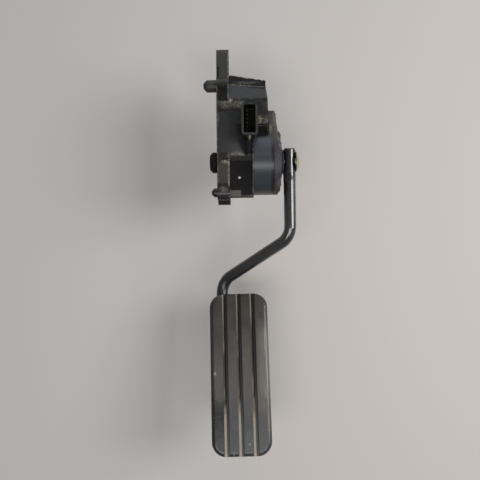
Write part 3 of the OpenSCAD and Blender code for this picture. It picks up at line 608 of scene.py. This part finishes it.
def dressNode(nodeName, pieceName, material, body, edge):
    source = nodes[nodeName]
    bpy.ops.object.select_all(action="DESELECT")
    source.select_set(True)
    bpy.context.view_layer.objects.active = source
    bpy.ops.object.duplicate()
    piece = bpy.context.view_layer.objects.active
    piece.name = pieceName
    piece.data.name = pieceName
    piece.parent = None
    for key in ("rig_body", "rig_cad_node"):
        if key in piece:
            del piece[key]
    bpy.ops.object.mode_set(mode="EDIT")
    bpy.ops.mesh.select_all(action="SELECT")
    bpy.ops.mesh.remove_doubles(threshold=dress["merge"])
    bpy.ops.mesh.dissolve_limited(angle_limit=math.radians(dress["flat"]))
    bpy.ops.object.mode_set(mode="OBJECT")
    bevel = piece.modifiers.new("edges", "BEVEL")
    bevel.width = edge * mm
    bevel.segments = dress["segments"]
    bevel.limit_method = "ANGLE"
    bevel.angle_limit = math.radians(dress["bevelFrom"])
    bevel.use_clamp_overlap = True
    bpy.ops.object.modifier_apply(modifier="edges")
    bpy.ops.object.shade_smooth_by_angle(angle=math.radians(dress["smoothBelow"]))
    evened = piece.modifiers.new("flatFaces", "WEIGHTED_NORMAL")
    evened.keep_sharp = True
    bpy.ops.object.modifier_apply(modifier="flatFaces")
    piece.data.materials.clear()
    piece.data.materials.append(material)
    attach(piece, body)
    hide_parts(nodeName)


dressNode("housing", "mouldedHousing", housingPlastic, "housing_body", 0.35)
dressNode("side_cover", "ribbedSideCover", coverPlastic, "housing_body", 0.3)
dressNode("shaft_cap", "shaftEndCap", capPlastic, "pedal_body", 0.3)
dressNode("pedal_pad", "groovedPad", padPlastic, "pedal_body", 0.4)
print("dressed copies made")


# the other nodes keep their CAD mesh and get their finish
finishes = {
    "bolt_sleeves": bareSteel, "sensor_cover": coverPlastic, "left_bush": naturalPlastic,
    "shaft_seal": stopRubber, "sensor_board": boardLaminate, "connector_pins": contactMetal,
    "cover_screws": bareSteel, "right_bush": naturalPlastic, "friction_washer": naturalPlastic,
    "outer_spring": springSteel, "inner_spring": springSteel, "idle_bumper": stopRubber,
    "full_travel_bumper": stopRubber, "spring_hub": hubPlastic, "wiper_carrier": naturalPlastic,
    "wiper_contacts": contactMetal, "pivot_rivet": yellowZinc, "rivet_washer": bareSteel,
    "arm_rod": rodCoat,
}
for nodeName, material in finishes.items():
    nodes[nodeName].data.materials.clear()
    nodes[nodeName].data.materials.append(material)
print("finishes set")


# backdrop: the pale table top that the part lies on, one-sided so the back can be seen
backdrop = {"behind": 0.086, "middle": -0.1, "reach": 6.0, "rough": 0.8, "gloss": 0.2,
            # painted shade: the table is tinted cooler towards the left
            "color": (0.575, 0.545, 0.525, 1), "coolShadeTint": (0.56, 0.55, 0.545, 1), "turn": (0.1, -0.2)}


def makeBackdrop():
    bpy.ops.object.select_all(action="DESELECT")
    bpy.ops.mesh.primitive_plane_add(size=backdrop["reach"],
                                     location=(0, backdrop["behind"], backdrop["middle"]),
                                     rotation=(math.radians(90), 0, 0))
    sheet = bpy.context.view_layer.objects.active
    sheet.name = "paleTable"
    bpy.ops.object.transform_apply(location=True, rotation=True, scale=True)
    material, tree, shader, place = startMaterial("paleTableTop")
    # cooler painted shade tint towards the left
    across = rampNode(tree, splitNode(tree, place)["X"], *backdrop["turn"])
    color = mixColor(tree, across, backdrop["color"], backdrop["coolShadeTint"])
    feed(tree, color, shader.inputs["Base Color"])
    shader.inputs["Roughness"].default_value = backdrop["rough"]
    shader.inputs["Specular IOR Level"].default_value = backdrop["gloss"]
    clear = addNode(tree, "ShaderNodeBsdfTransparent")
    shape = addNode(tree, "ShaderNodeNewGeometry")
    mix = addNode(tree, "ShaderNodeMixShader")
    feed(tree, shape.outputs["Backfacing"], mix.inputs[0])
    feed(tree, shader.outputs[0], mix.inputs[1])
    feed(tree, clear.outputs[0], mix.inputs[2])
    feed(tree, mix.outputs[0], tree.nodes["Material Output"].inputs["Surface"])
    sheet.data.materials.append(material)


makeBackdrop()


# camera: place in mm, focal length as a share of the picture's width, roll in degrees
view = {"x": 17.3, "z": -93.0, "distance": 463.0, "focal": 560.0 / 480.0, "roll": 0.8,
        "sensor": 36.0, "near": 0.01}


def makeCamera():
    data = bpy.data.cameras.new("photoCamera")
    camera = bpy.data.objects.new("photoCamera", data)
    scene.collection.objects.link(camera)
    data.sensor_width = view["sensor"]
    data.lens = view["sensor"] * view["focal"]
    data.clip_start = view["near"]
    camera.location = inMetres((view["x"], -view["distance"], view["z"]))
    camera.rotation_euler = (math.radians(90), math.radians(view["roll"]), 0)
    scene.camera = camera


def makeLamp(name, place, target, width, height, glow, color):
    # glow is the lamp's brightness, so a larger lamp gives softer and more light
    data = bpy.data.lights.new(name, "AREA")
    data.shape = "RECTANGLE"
    data.size = width
    data.size_y = height
    data.energy = glow * width * height * math.pi
    data.color = color
    lamp = bpy.data.objects.new(name, data)
    scene.collection.objects.link(lamp)
    lamp.location = place
    lamp.rotation_euler = (Vector(target) - Vector(place)).to_track_quat("-Z", "Y").to_euler()


makeCamera()
middle = (0.02, 0.0, -0.1)
padMiddle = (0.02, 0, -0.2)
warm = (1.0, 0.99, 0.97)
makeLamp("windowRight", (0.88, -0.8, 0.04), middle, 0.64, 0.46, 9.0, warm)
makeLamp("lowFront", (0.0, -1.0, -0.38), padMiddle, 0.9, 0.36, 4.9, warm)
makeLamp("ceilingTop", (-0.1, -0.35, 1.0), middle, 1.0, 0.9, 1.25, (0.9, 0.95, 1.0))
makeLamp("backFill", (0.5, 1.1, 0.5), middle, 1.1, 0.9, 7.0, (1.0, 1.0, 1.0))
makeLamp("backLeft", (-0.9, 0.9, 0.1), middle, 0.7, 0.9, 4.0, (0.97, 0.98, 1.0))

# the room lights the part dimly, and is seen and mirrored as pale
room = {"light": (0.125, 0.125, 0.13, 1), "seen": (0.32, 0.312, 0.304, 1)}
world = bpy.data.worlds.new("paleRoom")
scene.world = world
world.use_nodes = True
worldTree = world.node_tree
background = worldTree.nodes["Background"]
rays = addNode(worldTree, "ShaderNodeLightPath").outputs
seen = most(worldTree, rays["Is Camera Ray"], rays["Is Transmission Ray"])
seen = most(worldTree, seen, rays["Is Glossy Ray"])
feed(worldTree, mixColor(worldTree, seen, room["light"], room["seen"]), background.inputs["Color"])
background.inputs["Strength"].default_value = 1.0
scene.view_settings.view_transform = "Standard"
print("stage, camera and lamps made")
